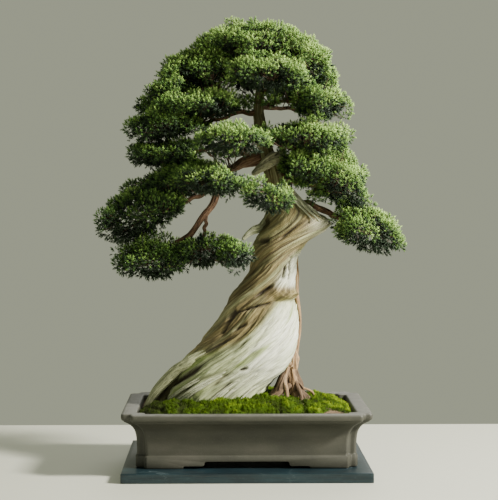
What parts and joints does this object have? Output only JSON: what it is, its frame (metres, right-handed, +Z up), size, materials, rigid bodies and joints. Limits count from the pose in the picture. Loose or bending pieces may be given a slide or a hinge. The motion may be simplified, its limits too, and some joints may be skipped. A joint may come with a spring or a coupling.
{
  "type": "bonsai tree in a pot",
  "caption": "Juniper bonsai with a twisted bleached trunk, layered foliage pads and moss, in a footed rectangular clay pot on a slate board.",
  "frame": {"origin": "middle of the slate board's underside", "axes": "X along the pot's length to the right, Y to the back, Z up"},
  "size_m": [0.6416, 0.414, 0.9175],
  "materials": {
    "slate": "honed blue-black slate with thin pale veins, worn edges",
    "unglazed_clay": "unglazed brown-grey stoneware, matte, paler where the rim catches dust",
    "screen_plastic": "black plastic mesh",
    "clip_wire": "bare bonsai wire",
    "grit": "coarse drainage grit",
    "soil": "granular baked-clay bonsai soil, matte",
    "root_mass": "fine roots matted with soil",
    "moss": "short velvety moss",
    "deadwood": "bleached twisted juniper deadwood with open grain",
    "live_bark": "fibrous orange-brown juniper bark",
    "branch_bark": "dark red-brown flaking bark",
    "juniper_foliage": "dense short scale-leaf sprays"
  },
  "bodies": {
    "root": {"branch_back_high": "branch_bark", "branch_back_low": "branch_bark", "branch_crown_right": "branch_bark", "branch_left_arm": "branch_bark", "branch_left_high": "branch_bark", "branch_left_mid": "branch_bark", "branch_left_upper_arm": "branch_bark", "branch_low_left": "branch_bark", "branch_low_left_fork": "branch_bark", "branch_right_arm": "branch_bark", "branch_right_high": "branch_bark", "branch_right_low": "branch_bark", "branch_right_mid": "branch_bark", "drainage_grit": "grit", "drainage_screen_left": "screen_plastic", "drainage_screen_right": "screen_plastic", "foliage_pad_back_left_high": "juniper_foliage", "foliage_pad_back_left_low": "juniper_foliage", "foliage_pad_back_right_high": "juniper_foliage", "foliage_pad_back_right_low": "juniper_foliage", "foliage_pad_crown": "juniper_foliage", "foliage_pad_crown_back": "juniper_foliage", "foliage_pad_crown_front": "juniper_foliage", "foliage_pad_crown_left": "juniper_foliage", "foliage_pad_crown_right": "juniper_foliage", "foliage_pad_front_centre": "juniper_foliage", "foliage_pad_front_high": "juniper_foliage", "foliage_pad_front_left_low": "juniper_foliage", "foliage_pad_front_low": "juniper_foliage", "foliage_pad_left_arm": "juniper_foliage", "foliage_pad_left_high": "juniper_foliage", "foliage_pad_left_low_inner": "juniper_foliage", "foliage_pad_left_low_tip": "juniper_foliage", "foliage_pad_left_mid": "juniper_foliage", "foliage_pad_left_upper_arm": "juniper_foliage", "foliage_pad_right_arm": "juniper_foliage", "foliage_pad_right_arm_inner": "juniper_foliage", "foliage_pad_right_low": "juniper_foliage", "foliage_pad_right_mid": "juniper_foliage", "foliage_pad_shoulder_left": "juniper_foliage", "foliage_pad_shoulder_right": "juniper_foliage", "foliage_pad_upper_left": "juniper_foliage", "jin_crown": "deadwood", "jin_stub": "deadwood", "live_vein": "live_bark", "moss_back": "moss", "moss_front": "moss", "moss_left": "moss", "moss_right": "moss", "pot": "unglazed_clay", "root_ball": "root_mass", "root_front": "live_bark", "root_left": "deadwood", "root_main": "live_bark", "root_right": "live_bark", "screen_clip_left": "clip_wire", "screen_clip_right": "clip_wire", "slate_board": "slate", "soil": "soil", "trunk": "deadwood"}
  },
  "joints": []
}
